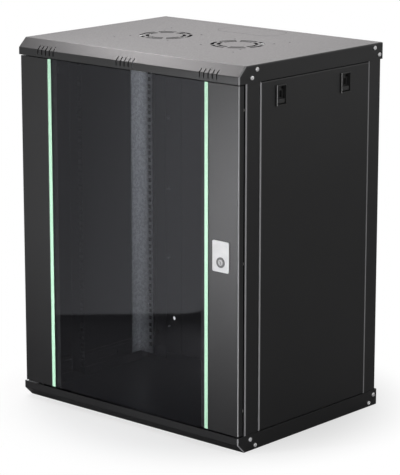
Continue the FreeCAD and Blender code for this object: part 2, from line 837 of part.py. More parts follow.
def side_panel(label, hand):
    """A removable panel: a pan, flush with the skirts, with tabs that stand behind the lower one."""
    body = new_body(label)
    deep = half_width - s.panel_flange
    sketch = new_sketch(body, "YZ", deep if hand > 0 else -half_width)
    rectangle(sketch, panel_front, panel_rear, panel_low, panel_high)
    block = pad(body, sketch, "YZ", s.panel_flange)
    surface = block.Shape.copy()
    inside = hand * number(deep)
    outside = hand * number(half_width)
    shell = body.newObject("PartDesign::Thickness", "Shell")
    shell.Base = (block, ["Face%d" % i for i, face in enumerate(surface.Faces, 1)
                          if abs(face.CenterOfMass.x - inside) < TOUCH])
    shell.Reversed = True
    shell.Join = "Intersection"
    bind(shell, "Value", s.panel_sheet)
    doc.recompute()
    round_edges(body, lambda e: all(abs(v.X - outside) < TOUCH for v in e.Vertexes),
                s.panel_bend)
    tab_x = half_width - s.cover_sheet - s.panel_tab_play - s.panel_sheet
    tabs = new_sketch(body, "YZ", tab_x if hand > 0 else -tab_x - s.panel_sheet)
    for y in (latch_front, latch_rear):
        rectangle(tabs, y - s.panel_tab_width / 2, y + s.panel_tab_width / 2,
                  panel_low - s.panel_tab_drop, panel_low + s.panel_bend)
    pad(body, tabs, "YZ", s.panel_sheet)
    holes = new_sketch(body, "YZ", hand * half_width)
    for y in (latch_front, latch_rear):
        centred_rectangle(holes, y, latch_level,
                          s.latch_width - 2 * s.latch_rim, s.latch_height - 2 * s.latch_rim)
    cut(body, holes, 2 * s.panel_sheet)
    ways = new_sketch(body, "XY", panel_high)
    bolt_ways(ways, hand)
    cut(body, ways, 2 * s.panel_sheet)
    return body


def slider_inner(hand):
    """The low X face of a latch slider, which lies just off the floor of its frame."""
    off_floor = half_width - s.latch_depth + s.latch_floor + s.slider_play
    return off_floor if hand > 0 else -off_floor - s.slider_sheet


def bolt_ways(sketch, hand):
    """The two slots that the bolts of one panel's latches run through."""
    middle = slider_inner(hand) + s.slider_sheet / 2
    for y in (latch_front, latch_rear):
        centred_rectangle(sketch, middle, y,
                          s.slider_sheet + 2 * s.slider_play,
                          s.slider_bolt_width + 2 * s.slider_play)


def latch_frames(label, hand):
    """Two moulded frames: a tray with a raised rim, and a slot above for the latch's bolt."""
    body = new_body(label)
    base = half_width - s.latch_depth
    face = half_width + s.latch_proud
    tray_width = s.latch_width - 2 * s.latch_rim
    tray_height = s.latch_height - 2 * s.latch_rim
    tray = new_sketch(body, "YZ", base if hand > 0 else -half_width)
    rim = new_sketch(body, "YZ", half_width if hand > 0 else -face)
    hollow = new_sketch(body, "YZ", hand * face)
    for y in (latch_front, latch_rear):
        centred_rectangle(tray, y, latch_level, tray_width, tray_height)
        centred_rectangle(rim, y, latch_level, s.latch_width, s.latch_height)
        centred_rectangle(hollow, y, latch_level, tray_width - 2 * s.latch_wall,
                          tray_height - 2 * s.latch_wall)
    pad(body, tray, "YZ", s.latch_depth)
    pad(body, rim, "YZ", s.latch_proud)
    outside = hand * number(face)
    round_edges(body, lambda e: all(abs(v.X - outside) < TOUCH for v in e.Vertexes),
                s.latch_rim)
    cut(body, hollow, s.latch_depth + s.latch_proud - s.latch_floor)
    ways = new_sketch(body, "XY", latch_level + tray_height / 2)
    bolt_ways(ways, hand)
    cut(body, ways, s.latch_wall + s.slider_play)
    return body


def latch_slider(label, hand, y):
    """A slider: plate with a finger hole above and a grip below, and a bolt that runs up."""
    body = new_body(label)
    low = latch_level - s.latch_height / 2 + s.latch_rim + s.latch_wall + s.slider_play
    high = low + s.slider_height
    inner = slider_inner(hand)
    plate = new_sketch(body, "YZ", inner)
    half = s.slider_width / 2
    neck = s.slider_bolt_width / 2
    polygon(plate, [(y - half, low), (y + half, low), (y + half, high), (y + neck, high),
                    (y + neck, panel_high), (y - neck, panel_high), (y - neck, high),
                    (y - half, high)])
    hole_top = high - s.slider_hole_top
    rectangle(plate, y - s.slider_hole_width / 2, y + s.slider_hole_width / 2,
              hole_top - s.slider_hole_height, hole_top)
    pad(body, plate, "YZ", s.slider_sheet)
    grip_start = inner + s.slider_sheet if hand > 0 else inner - s.slider_grip_depth
    grip = new_sketch(body, "YZ", grip_start)
    rectangle(grip, y - half + s.latch_wall, y + half - s.latch_wall,
              low + s.latch_wall, low + s.latch_wall + s.slider_grip_height)
    pad(body, grip, "YZ", s.slider_grip_depth)
    face = number(grip_start + s.slider_grip_depth if hand > 0 else grip_start)
    round_edges(body, lambda e: all(abs(v.X - face) < TOUCH for v in e.Vertexes),
                s.slider_grip_depth / 4)
    return body


def door_profile(label, hand):
    """A door stile: a folded channel with a flange that carries the glass."""
    seat_y = door_front + s.glass_thickness + s.tape_thickness
    step_x = glass_half + s.strip_width
    path = [(hand * (glass_half - s.glass_overlap), seat_y), (hand * step_x, seat_y),
            (hand * step_x, door_front), (hand * door_half, door_front),
            (hand * door_half, door_back), (hand * (door_half - s.door_lip), door_back)]
    body = folded(label, "XY", path, hand, s.door_sheet, s.door_bend,
                  door_low, door_high - door_low)
    if hand > 0:
        hole = new_sketch(body, "XZ", door_front)
        circle(hole, lock_x, lock_z, s.barrel_radius + s.barrel_clearance)
        cut(body, hole, 2 * s.door_sheet)
    return body


def upright(label, low_x, high_x, start_y, thickness):
    """A flat strip or pane over the whole height of the door."""
    body = new_body(label)
    sketch = new_sketch(body, "XZ", start_y)
    rectangle(sketch, low_x, high_x, door_low, door_high)
    pad(body, sketch, "XZ", thickness)
    return body


def door_glazing():
    upright("door_glass", -glass_half, glass_half, door_front, s.glass_thickness)
    far = glass_half + s.strip_width
    tape_far = far - s.door_bend
    tape_near = glass_half - s.glass_overlap
    tape_y = door_front + s.glass_thickness
    upright("accent_strip_left", -far, -glass_half, door_front, s.glass_thickness)
    upright("accent_strip_right", glass_half, far, door_front, s.glass_thickness)
    upright("glass_tape_left", -tape_far, -tape_near, tape_y, s.tape_thickness)
    upright("glass_tape_right", tape_near, tape_far, tape_y, s.tape_thickness)


def hinge_block_outline(body, start):
    sketch = new_sketch(body, "XY", start)
    side = door_half - s.door_sheet - s.hinge_play
    low_y = hinge_y - s.hinge_block_depth / 2
    rectangle(sketch, -side, -side + s.hinge_block_width, low_y, low_y + s.hinge_block_depth)
    return sketch


def hinge_block_corners(body):
    side = door_half - s.door_sheet - s.hinge_play
    low_y = hinge_y - s.hinge_block_depth / 2
    corners = [(-side, low_y), (-side, low_y + s.hinge_block_depth)]
    round_edges(body, along("XY", corners), s.door_bend - s.door_sheet / 2)


def hinge_block_bottom():
    """A block pressed into the foot of the left stile, which holds the fixed hinge pin."""
    body = new_body("hinge_block_bottom")
    pad(body, hinge_block_outline(body, door_low), "XY", s.hinge_block_height)
    hinge_block_corners(body)
    bore = new_sketch(body, "XY", door_low)
    circle(bore, hinge_x, hinge_y, s.hinge_pin_radius)
    cut_from(body, bore, "XY", s.hinge_block_height - s.hinge_block_ear, 1)
    return body


def hinge_pin_bottom():
    body = new_body("hinge_pin_bottom")
    sketch = new_sketch(body, "XY", s.skirt_height - s.hinge_pin_reach)
    circle(sketch, hinge_x, hinge_y, s.hinge_pin_radius)
    reach = s.hinge_pin_reach + s.door_gap + s.hinge_block_height - s.hinge_block_ear
    pad(body, sketch, "XY", reach)
    return body


def hinge_washer():
    """A washer on the fixed pin, which carries the door on the lower bracket."""
    body = new_body("hinge_washer")
    sketch = new_sketch(body, "XY", s.skirt_height + s.hinge_play)
    circle(sketch, hinge_x, hinge_y, 2 * s.hinge_pin_radius)
    circle(sketch, hinge_x, hinge_y, s.hinge_pin_radius + s.hinge_pin_fit)
    pad(body, sketch, "XY", s.door_gap - s.hinge_play)
    return body


def hinge_guide_top():
    """A C block in the head of the left stile: its two ears guide the sprung hinge pin."""
    body = new_body("hinge_guide_top")
    start = door_high - s.hinge_block_height
    pad(body, hinge_block_outline(body, start), "XY", s.hinge_block_height)
    hinge_block_corners(body)
    window = new_sketch(body, "XZ", hinge_y)
    rectangle(window, hinge_x - s.collar_radius - s.hinge_play, 0 * s.width,
              start + s.hinge_block_ear, door_high - s.hinge_block_ear)
    cut(body, window, s.hinge_block_depth)
    bore = new_sketch(body, "XY", start)
    circle(bore, hinge_x, hinge_y, s.hinge_pin_radius + s.hinge_pin_fit)
    cut(body, bore, s.hinge_block_height + s.hinge_pin_radius)
    return body


def hinge_pin_top():
    """The sprung pin: a rod with a collar for the spring and a lever to draw it down."""
    body = new_body("hinge_pin_top")
    low = door_high - s.hinge_block_height - s.lever_drop - s.lever_radius
    rod = new_sketch(body, "XY", low)
    circle(rod, hinge_x, hinge_y, s.hinge_pin_radius)
    pad(body, rod, "XY", skirt_top + s.hinge_pin_reach - low)
    collar_top = door_high - s.hinge_block_ear - s.hinge_play
    collar = new_sketch(body, "XY", collar_top - s.collar_height)
    circle(collar, hinge_x, hinge_y, s.collar_radius)
    pad(body, collar, "XY", s.collar_height)
    lever = new_sketch(body, "YZ", hinge_x)
    circle(lever, hinge_y, low + s.lever_radius, s.lever_radius)
    pad(body, lever, "YZ", s.lever_length)
    return body


def hinge_spring():
    """The coil spring between the guide's lower ear and the pin's collar."""
    body = new_body("hinge_spring")
    seat = door_high - s.hinge_block_height + s.hinge_block_ear + s.spring_wire
    top = door_high - s.hinge_block_ear - s.hinge_play - s.collar_height - s.spring_wire
    section = new_sketch(body, "XZ", hinge_y, (hinge_x, seat))
    circle(section, s.spring_radius, 0 * s.width, s.spring_wire)
    coil = body.newObject("PartDesign::AdditiveHelix", "Coil")
    coil.Profile = section
    coil.ReferenceAxis = (section, ["V_Axis"])
    coil.Mode = "height-turns-angle"
    bind(coil, "Height", top - seat)
    bind(coil, "Turns", s.spring_turns)
    doc.recompute()
    return body


def hinge_bracket(label, top):
    """An angle screwed to the left front post. Its shelf carries the hinge pin's hole."""
    body = new_body(label)
    shelf = level(s.skirt_height, top)
    inner_shelf = level(s.skirt_height - s.bracket_sheet, top)
    leg_end = level(s.skirt_height - s.bracket_leg, top)
    lip_y = front + s.door_setback
    sketch = new_sketch(body, "YZ", -post_half)
    polygon(sketch, [(lip_y, shelf), (post_front, shelf), (post_front, leg_end),
                     (post_front - s.bracket_sheet, leg_end),
                     (post_front - s.bracket_sheet, inner_shelf), (lip_y, inner_shelf)])
    pad(body, sketch, "YZ", s.bracket_width)
    bore = new_sketch(body, "XY", shelf)
    circle(bore, hinge_x, hinge_y, s.hinge_pin_radius + s.hinge_pin_fit)
    cut(body, bore, 2 * s.bracket_sheet)
    holes = new_sketch(body, "XZ", post_front)
    for x, z in bracket_screw_places(top):
        circle(holes, x, z, s.bracket_screw_radius)
    cut(body, holes, 2 * s.bracket_sheet)
    return body


def bracket_screw_places(top):
    middle = -post_half + s.bracket_width / 2
    z = level(s.skirt_height - s.bracket_leg * 0.6, top)
    return [(middle + i * s.bracket_width / 4, z) for i in (-1, 1)]


def hinge_bracket_screws():
    places = bracket_screw_places(False) + bracket_screw_places(True)
    face = post_front - s.bracket_sheet
    return pins("hinge_bracket_screws", "XZ", places, [
        (face - s.bracket_screw_head_height, s.bracket_screw_head_height,
         s.bracket_screw_head_radius),
        (face, s.bracket_sheet, s.bracket_screw_radius)])


def lock_plate():
    """The escutcheon: a bare rounded plate around the key cylinder."""
    body = new_body("lock_plate")
    face = door_front - s.lock_plate_thickness
    sketch = new_sketch(body, "XZ", face)
    centre_z = lock_z + s.lock_plate_rise
    centred_rectangle(sketch, lock_x, centre_z, s.lock_plate_width,
                      s.lock_plate_height)
    circle(sketch, lock_x, lock_z, s.barrel_radius + s.barrel_clearance)
    pad(body, sketch, "XZ", s.lock_plate_thickness)
    corners = [(lock_x + i * s.lock_plate_width / 2,
                centre_z + j * s.lock_plate_height / 2) for i in (-1, 1) for j in (-1, 1)]
    round_edges(body, along("XZ", corners), s.lock_plate_radius)
    rim = number(face)
    reach = number(s.barrel_radius + s.barrel_clearance)
    round_edges(body, lambda e: all(abs(v.Y - rim) < TOUCH for v in e.Vertexes)
                and e.BoundBox.XLength + e.BoundBox.ZLength != 0
                and abs(e.CenterOfMass.x - number(lock_x))
                + abs(e.CenterOfMass.z - number(lock_z)) > reach / 2,
                s.lock_plate_thickness / 3)
    return body


def barrel_face():
    return door_front - s.lock_plate_thickness


def cam_front():
    """The cam turns just behind the flange of the front post."""
    return post_front + s.post_sheet + s.cam_play


def lock_barrel():
    """The fixed cylinder housing, with its flange on the escutcheon."""
    body = new_body("lock_barrel")
    stages = [(barrel_face() - s.barrel_head_height, s.barrel_head_height,
               s.barrel_head_radius),
              (barrel_face(), cam_front() - s.hinge_play - barrel_face(), s.barrel_radius)]
    for start, length, radius in stages:
        sketch = new_sketch(body, "XZ", start)
        circle(sketch, lock_x, lock_z, radius)
        circle(sketch, lock_x, lock_z, s.plug_radius + s.plug_fit)
        pad(body, sketch, "XZ", length)
    return body


def lock_nut():
    body = new_body("lock_nut")
    sketch = new_sketch(body, "XZ", door_front + s.door_sheet)
    hexagon(sketch, lock_x, lock_z, s.lock_nut_flats)
    circle(sketch, lock_x, lock_z, s.barrel_radius)
    pad(body, sketch, "XZ", s.lock_nut_height)
    return body


def lock_plug():
    """The turning plug, with its slanted key slot in front and a square for the cam behind."""
    body = new_body("lock_plug")
    face = barrel_face() - s.barrel_head_height
    rod = new_sketch(body, "XZ", face)
    circle(rod, lock_x, lock_z, s.plug_radius)
    pad(body, rod, "XZ", cam_front() - face)
    square = new_sketch(body, "XZ", cam_front())
    centred_rectangle(square, lock_x, lock_z, s.cam_square, s.cam_square)
    pad(body, square, "XZ", s.cam_sheet)
    slot_sketch = new_sketch(body, "XZ", face, (lock_x, lock_z))
    turn = math.radians(number(s.key_slot_angle))
    corners = []
    for i, j in ((-1, -1), (1, -1), (1, 1), (-1, 1)):
        half_u = i * s.key_slot_width / 2
        half_v = j * s.key_slot_height / 2
        corners.append((half_u * math.cos(turn) - half_v * math.sin(turn),
                        half_u * math.sin(turn) + half_v * math.cos(turn)))
    polygon(slot_sketch, corners)
    cut(body, slot_sketch, s.key_slot_depth)
    return body


def lock_cam():
    """The cam: it hangs down when unlocked and turns behind the post's flange."""
    body = new_body("lock_cam")
    sketch = new_sketch(body, "XZ", cam_front())
    half = s.cam_width / 2
    rectangle(sketch, lock_x - half, lock_x + half,
              lock_z - s.cam_reach, lock_z + half)
    centred_rectangle(sketch, lock_x, lock_z, s.cam_square, s.cam_square)
    pad(body, sketch, "XZ", s.cam_sheet)
    corners = [(lock_x + i * half, z) for i in (-1, 1)
               for z in (lock_z - s.cam_reach, lock_z + half)]
    round_edges(body, along("XZ", corners), half / 2)
    return body


def cam_screw():
    back = cam_front() + s.cam_sheet
    body = new_body("cam_screw")
    sketch = new_sketch(body, "XZ", back)
    circle(sketch, lock_x, lock_z, s.cam_screw_head_radius)
    pad(body, sketch, "XZ", s.cam_screw_head_height)
    return body


def door_buffers():
    """Rubber buffers on the flange of the right front post, which the closed door meets."""
    places = [(post_half - s.buffer_inset, z)
              for z in (door_low + s.buffer_end, lock_z, door_high - s.buffer_end)]
    start = door_back + s.buffer_play
    return pins("door_buffers", "XZ", places, [(start, post_front - start, s.buffer_radius)])


def earth_stud():
    return pins("earth_stud", "XY", [(s.earth_offset, earth_y)],
                [(s.cover_sheet, s.earth_height, s.earth_radius)])


def earth_nut():
    body = new_body("earth_nut")
    sketch = new_sketch(body, "XY", s.cover_sheet)
    hexagon(sketch, s.earth_offset, earth_y, s.earth_nut_flats)
    circle(sketch, s.earth_offset, earth_y, s.earth_radius)
    pad(body, sketch, "XY", s.earth_nut_height)
    return body


def build_cabinet():
    top_cover()
    bottom_cover()
    for hand, side in ((-1, "left"), (1, "right")):
        post("post_front_" + side, hand, True)
        post("post_rear_" + side, hand, False)
        depth_rail("depth_rail_top_" + side, hand, True)
        depth_rail("depth_rail_bottom_" + side, hand, False)
        rack_rail("rack_rail_front_" + side, hand, True)
        rack_rail("rack_rail_rear_" + side, hand, False)
    rear_panel()
    cover_screws()
    rack_rail_bolts()
    rack_rail_nuts()
    rear_panel_screws()
    hinge_bracket("hinge_bracket_top", True)
    hinge_bracket("hinge_bracket_bottom", False)
    hinge_bracket_screws()
    door_buffers()
    earth_stud()
    earth_nut()


def build_side_panels():
    for hand, side in ((-1, "left"), (1, "right")):
        side_panel("side_panel_" + side, hand)
        latch_frames("latch_frames_" + side, hand)
        latch_slider("latch_slider_%s_front" % side, hand, latch_front)
        latch_slider("latch_slider_%s_rear" % side, hand, latch_rear)


def build_door():
    door_profile("door_profile_left", -1)
    door_profile("door_profile_right", 1)
    door_glazing()
    hinge_block_bottom()
    hinge_pin_bottom()
    hinge_washer()
    hinge_guide_top()
    hinge_spring()
    hinge_pin_top()
    lock_plate()
    lock_barrel()
    lock_nut()
    lock_plug()
    lock_cam()
    cam_screw()


def check_and_write():
    """Stops on any failed object or bad solid, then writes one STEP file for each sub-part."""
    doc.recompute()
    for item in doc.Objects:
        if "Invalid" in item.State or "Error" in item.State:
            raise RuntimeError("%s (%s) failed: %s" % (item.Name, item.Label, item.State))
    for body in parts:
        if body.Shape.isNull() or not body.Shape.isValid() or not body.Shape.Solids:
            raise RuntimeError("%s has no valid solid" % body.Label)
    os.makedirs("parts", exist_ok=True)
    for body in parts:
        body.Shape.exportStep("parts/%s.step" % body.Label)
        box = body.Shape.BoundBox
        print("%-26s %d solid(s) %10.0f mm3  X %.1f..%.1f  Y %.1f..%.1f  Z %.1f..%.1f" % (
            body.Label, len(body.Shape.Solids), body.Shape.Volume, box.XMin, box.XMax,
            box.YMin, box.YMax, box.ZMin, box.ZMax))


build_cabinet()
build_side_panels()
build_door()
check_and_write()
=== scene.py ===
"""A wall mount network cabinet: finishes, small fasteners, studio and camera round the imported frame."""
import json
import math

import bmesh
import bpy
from mathutils import Matrix, Vector

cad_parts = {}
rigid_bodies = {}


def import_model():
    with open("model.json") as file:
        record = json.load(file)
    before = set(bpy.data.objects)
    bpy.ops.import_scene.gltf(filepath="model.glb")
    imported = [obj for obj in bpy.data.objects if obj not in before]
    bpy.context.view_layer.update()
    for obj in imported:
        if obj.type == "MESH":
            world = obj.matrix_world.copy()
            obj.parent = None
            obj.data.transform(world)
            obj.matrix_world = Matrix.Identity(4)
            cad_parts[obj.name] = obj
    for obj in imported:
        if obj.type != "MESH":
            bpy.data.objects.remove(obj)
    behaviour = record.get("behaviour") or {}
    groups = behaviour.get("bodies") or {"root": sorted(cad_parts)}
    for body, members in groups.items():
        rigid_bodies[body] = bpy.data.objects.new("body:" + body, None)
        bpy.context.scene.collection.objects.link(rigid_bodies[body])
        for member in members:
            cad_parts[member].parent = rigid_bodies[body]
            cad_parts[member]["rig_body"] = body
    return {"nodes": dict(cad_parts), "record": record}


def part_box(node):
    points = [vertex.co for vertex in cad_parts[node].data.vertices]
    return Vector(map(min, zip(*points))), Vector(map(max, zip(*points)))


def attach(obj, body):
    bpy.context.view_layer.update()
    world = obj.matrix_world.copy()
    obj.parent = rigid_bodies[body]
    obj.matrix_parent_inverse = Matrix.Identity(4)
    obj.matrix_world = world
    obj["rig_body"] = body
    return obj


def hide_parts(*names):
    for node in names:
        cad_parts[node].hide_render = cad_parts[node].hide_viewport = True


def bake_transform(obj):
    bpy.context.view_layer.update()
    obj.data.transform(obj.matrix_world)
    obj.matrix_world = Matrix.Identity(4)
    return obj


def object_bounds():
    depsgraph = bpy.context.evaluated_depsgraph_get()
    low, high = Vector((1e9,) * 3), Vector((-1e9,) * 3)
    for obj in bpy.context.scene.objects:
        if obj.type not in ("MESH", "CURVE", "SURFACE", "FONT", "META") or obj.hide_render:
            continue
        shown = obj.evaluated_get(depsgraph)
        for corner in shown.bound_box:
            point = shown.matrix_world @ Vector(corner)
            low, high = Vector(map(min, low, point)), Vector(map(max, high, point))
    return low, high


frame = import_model()
nodes = frame["nodes"]
cad_low, cad_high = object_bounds()


# ---- node helpers --------------------------------------------------------------------------------

PATTERN_LOW, PATTERN_HIGH = 0.3, 0.7    # a noise pattern mostly stays between these


def grey(level):
    return (level, level, level)


class Graph:
    """A node tree and short calls that build it."""

    def __init__(self, tree):
        self.tree = tree

    def feed(self, socket, value):
        """Gives a socket a value of its own or another node's output."""
        if isinstance(value, bpy.types.NodeSocket):
            self.tree.links.new(value, socket)
        else:
            socket.default_value = value

    def add(self, kind, sockets=None, **settings):
        """Adds a node, changes its settings and then feeds its sockets."""
        node = self.tree.nodes.new(kind)
        for name, value in settings.items():
            setattr(node, name, value)
        for name, value in (sockets or {}).items():
            self.feed(node.inputs[name], value)
        return node

    def maths(self, operation, first, second):
        node = self.add("ShaderNodeMath", {0: first, 1: second}, operation=operation)
        return node.outputs["Value"]

    def axes(self, vector):
        return self.add("ShaderNodeSeparateXYZ", {"Vector": vector}).outputs

    def spread(self, value, low, high, start=PATTERN_LOW, end=PATTERN_HIGH, shape="LINEAR"):
        """Maps value's start..end to low..high."""
        sockets = {"Value": value, "From Min": start, "From Max": end,
                   "To Min": low, "To Max": high}
        return self.add("ShaderNodeMapRange", sockets, interpolation_type=shape).outputs["Result"]

    def swell(self, value):
        """0 where value is 0 or 1, rising smoothly to 1 halfway between."""
        from_edge = self.maths("PINGPONG", value, 0.5)
        return self.spread(from_edge, 0.0, 1.0, 0.0, 0.5, "SMOOTHSTEP")

    def to_eye(self, seen, other):
        """seen where the camera, a mirror or clear glass looks, and other elsewhere."""
        path = self.add("ShaderNodeLightPath").outputs
        looks = path["Is Camera Ray"]
        for name in ("Is Glossy Ray", "Is Transmission Ray"):
            looks = self.maths("MAXIMUM", looks, path[name])
        return self.spread(looks, other, seen, 0.0, 1.0)


class Finish(Graph):
    """A material with one Principled shader and the patterns that drive it."""

    def __init__(self, name):
        self.material = bpy.data.materials.new(name)
        self.material.use_nodes = True
        super().__init__(self.material.node_tree)
        self.shader = self.tree.nodes["Principled BSDF"]
        self.place = self.add("ShaderNodeTexCoord").outputs["Object"]

    def set(self, **values):
        """Feeds the shader's sockets; an underscore in a name stands for a space."""
        for name, value in values.items():
            self.feed(self.shader.inputs[name.replace("_", " ")], value)

    def matt(self, level, roughness):
        """A plain grey surface without gloss."""
        self.set(Base_Color=(*grey(level), 1.0), Roughness=roughness, Specular_IOR_Level=0.0)

    def show(self, shader):
        """Lets another shader's output make the surface."""
        self.feed(self.tree.nodes["Material Output"].inputs["Surface"], shader)

    def mix(self, share, first, second):
        """Shows the first shader where share is 0 and the second where it is 1."""
        node = self.add("ShaderNodeMixShader", {"Fac": share, 1: first, 2: second})
        self.show(node.outputs["Shader"])

    def stretched(self, scale):
        """The object's coordinates with each axis scaled by itself."""
        node = self.add("ShaderNodeMapping", {"Scale": scale, "Vector": self.place})
        return node.outputs["Vector"]

    def noise(self, scale, detail=3.0, vector=None):
        sockets = {"Scale": scale, "Detail": detail, "Vector": vector or self.place}
        return self.add("ShaderNodeTexNoise", sockets).outputs["Fac"]

    def cells(self, scale):
        """A grey level for each cell of a Voronoi pattern."""
        pattern = self.add("ShaderNodeTexVoronoi", {"Scale": scale, "Vector": self.place})
        split = self.add("ShaderNodeSeparateColor", {"Color": pattern.outputs["Color"]})
        return split.outputs["Red"]

    def blend(self, value, low, high):
        """A colour that goes from low to high as value crosses a pattern's range."""
        node = self.add("ShaderNodeValToRGB", {"Fac": value})
        stops = zip(node.color_ramp.elements, (PATTERN_LOW, PATTERN_HIGH), (low, high))
        for stop, position, colour in stops:
            stop.position = position
            stop.color = (*colour, 1.0)
        return node.outputs["Color"]

    def over(self, under, mask, colour):
        """A colour laid over another where the mask is 1."""
        sockets = {"A": under, "B": (*colour, 1.0), "Factor": mask}
        return self.add("ShaderNodeMix", sockets, data_type="RGBA").outputs["Result"]

    def bump(self, height, distance, strength, under=None):
        """The slopes of a height pattern, laid over the slopes of another if one is given."""
        sockets = {"Height": height, "Distance": distance, "Strength": strength}
        if under:
            sockets["Normal"] = under
        return self.add("ShaderNodeBump", sockets).outputs["Normal"]


# ---- finishes ------------------------------------------------------------------------------------

FOLD_SLANT = (-0.06, -0.34)         # product of the normal's x and y, from no fold to a full one
FOLD_HIGHLIGHT_X = (0.270, 0.272)          # the painted fold highlight starts between these
# pale grey painted onto those folds as a highlight
FOLD_HIGHLIGHT = (0.42, 0.42, 0.43)
STRIP_BORDER = 0.1                  # share of the strip's width that is dark at each side


def fold_highlight_mask(finish):
    """1 on the upright folds of the opening side, where a pale highlight is painted into the coat; else
    0.
    """
    facing = finish.axes(finish.add("ShaderNodeTexCoord").outputs["Normal"])
    slant = finish.maths("MULTIPLY", facing["X"], facing["Y"])
    return finish.maths("MULTIPLY", finish.spread(slant, 0.0, 1.0, *FOLD_SLANT),
                        finish.spread(finish.axes(finish.place)["X"], 0.0, 1.0, *FOLD_HIGHLIGHT_X))


def powder_coat():
    """Satin black powder coat: a fine orange peel over a still finer grain, with a painted highlight on
    the upright folds of the opening side.
    """
    finish = Finish("powder_coat")
    coat = finish.blend(finish.noise(9.0), (0.0055, 0.0055, 0.0060), (0.0075, 0.0075, 0.0080))
    peel = finish.bump(finish.noise(650.0, 2.0), 0.00012, 0.8)
    finish.set(IOR=1.43,
               # the folds' highlight is painted into the base colour
               Base_Color=finish.over(coat, fold_highlight_mask(finish), FOLD_HIGHLIGHT),
               Roughness=finish.spread(finish.noise(420.0, 2.0), 0.37, 0.45),
               Normal=finish.bump(finish.noise(2400.0, 2.0), 0.00004, 0.8, under=peel))
    return finish.material


def smoked_glass():
    """Tempered glass with a grey body tint; most of what shows is the room it mirrors."""
    finish = Finish("smoked_glass")
    finish.set(IOR=2.35, Specular_Tint=(0.92, 0.93, 1.0, 1.0),
               Base_Color=finish.blend(finish.noise(3.0), (0.004, 0.004, 0.005),
                                       (0.006, 0.006, 0.007)),
               Roughness=finish.spread(finish.noise(40.0), 0.03, 0.05))
    through = finish.add("ShaderNodeBsdfTransparent", {"Color": (0.93, 0.94, 0.96, 1.0)})
    mirror = finish.add("ShaderNodeFresnel", {"IOR": 1.5}).outputs["Fac"]
    behind = finish.add("ShaderNodeNewGeometry").outputs["Backfacing"]
    gloss = finish.maths("MULTIPLY", mirror, finish.maths("SUBTRACT", 1.0, behind))
    finish.mix(finish.spread(gloss, 0.15, 1.0, 0.0, 1.0), through.outputs["BSDF"],
               finish.shader.outputs["BSDF"])
    return finish.material


def mint_strip(node_name):
    """A pale green strip behind the edge of the glass, faintly streaked, with dark borders."""
    finish = Finish(node_name)
    streaks = finish.noise(60.0, 2.0, finish.stretched((1.0, 1.0, 0.05)))
    colour = finish.blend(streaks, (0.50, 0.83, 0.60), (0.54, 0.86, 0.63))
    left, right = (corner.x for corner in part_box(node_name))
    border = STRIP_BORDER * (right - left)
    across = finish.axes(finish.place)["X"]
    for mask in (finish.spread(across, 1.0, 0.0, left, left + border),
                 finish.spread(across, 0.0, 1.0, right - border, right)):
        colour = finish.over(colour, mask, (0.02, 0.03, 0.02))
    finish.set(IOR=1.45, Base_Color=colour,
               Roughness=finish.spread(finish.noise(300.0), 0.22, 0.3))
    return finish.material


def zinc_plate(name="zinc_plate", low=(0.66, 0.67, 0.68), high=(0.84, 0.85, 0.86),
               metallic=0.8):
    """Bright zinc: metal with faint spangle and fine drawn lines."""
    finish = Finish(name)
    lines = finish.noise(500.0, 2.0, finish.stretched((1.0, 1.0, 0.04)))
    finish.set(Metallic=metallic,
               Base_Color=finish.blend(finish.cells(220.0), low, high),
               Roughness=finish.spread(lines, 0.32, 0.46),
               Normal=finish.bump(lines, 0.00003, 0.5))
    return finish.material


def satin_nickel(name="satin_nickel", tone=0.44, metallic=0.12):
    """A die-cast lock under a dull silvery plating that scatters most of the light."""
    finish = Finish(name)
    finish.set(Metallic=metallic, IOR=1.5,
               Base_Color=finish.blend(finish.noise(45.0), grey(tone * 0.92), grey(tone * 1.08)),
               Roughness=finish.spread(finish.noise(700.0, 2.0), 0.34, 0.42),
               Normal=finish.bump(finish.noise(1500.0, 2.0), 0.00003, 0.6))
    return finish.material


def moulded_plastic():
    """Black moulded plastic with a fine spark-eroded texture."""
    finish = Finish("moulded_plastic")
    finish.set(IOR=1.46,
               Base_Color=finish.blend(finish.noise(30.0), grey(0.012), grey(0.020)),
               Roughness=finish.spread(finish.noise(500.0), 0.42, 0.55),
               Normal=finish.bump(finish.noise(1800.0, 2.0), 0.00006, 0.7))
    return finish.material


def lip_highlight_plastic():
    """Pale plastic for the latch lips: a painted highlight along the latch frames' front edges."""
    finish = Finish("lip_highlight_plastic")
    finish.set(IOR=1.46,
               Base_Color=finish.blend(finish.noise(200.0), grey(0.66), grey(0.78)),
               Roughness=finish.spread(finish.noise(500.0), 0.30, 0.42),
               Normal=finish.bump(finish.noise(1800.0, 2.0), 0.00003, 0.5))
    return finish.material


def foam_tape():
    """Black foam tape with a cellular face."""
    finish = Finish("foam_tape")
    finish.set(Base_Color=finish.blend(finish.noise(90.0), grey(0.010), grey(0.022)),
               Roughness=finish.spread(finish.noise(400.0), 0.75, 0.95),
               Normal=finish.bump(finish.cells(1600.0), 0.0001, 0.6))
    return finish.material


def brass():
    finish = Finish("brass")
    finish.set(Metallic=1.0,
               Base_Color=finish.blend(finish.noise(120.0), (0.66, 0.47, 0.20),
                                       (0.78, 0.60, 0.30)),
               Roughness=finish.spread(finish.noise(500.0), 0.28, 0.42),
               Normal=finish.bump(finish.noise(1400.0, 2.0), 0.00003, 0.6))
    return finish.material


def clear_rubber():
    """The translucent elastomer of the door buffers."""
    finish = Finish("clear_rubber")
    finish.set(IOR=1.42, Subsurface_Weight=0.4, Subsurface_Radius=(0.002, 0.002, 0.002),
               Base_Color=finish.blend(finish.noise(80.0), (0.46, 0.46, 0.43),
                                       (0.58, 0.58, 0.55)),
               Roughness=finish.spread(finish.noise(300.0), 0.35, 0.5))
    return finish.material


def dress(name, material):
    mesh = nodes[name].data
    mesh.materials.clear()
    mesh.materials.append(material)


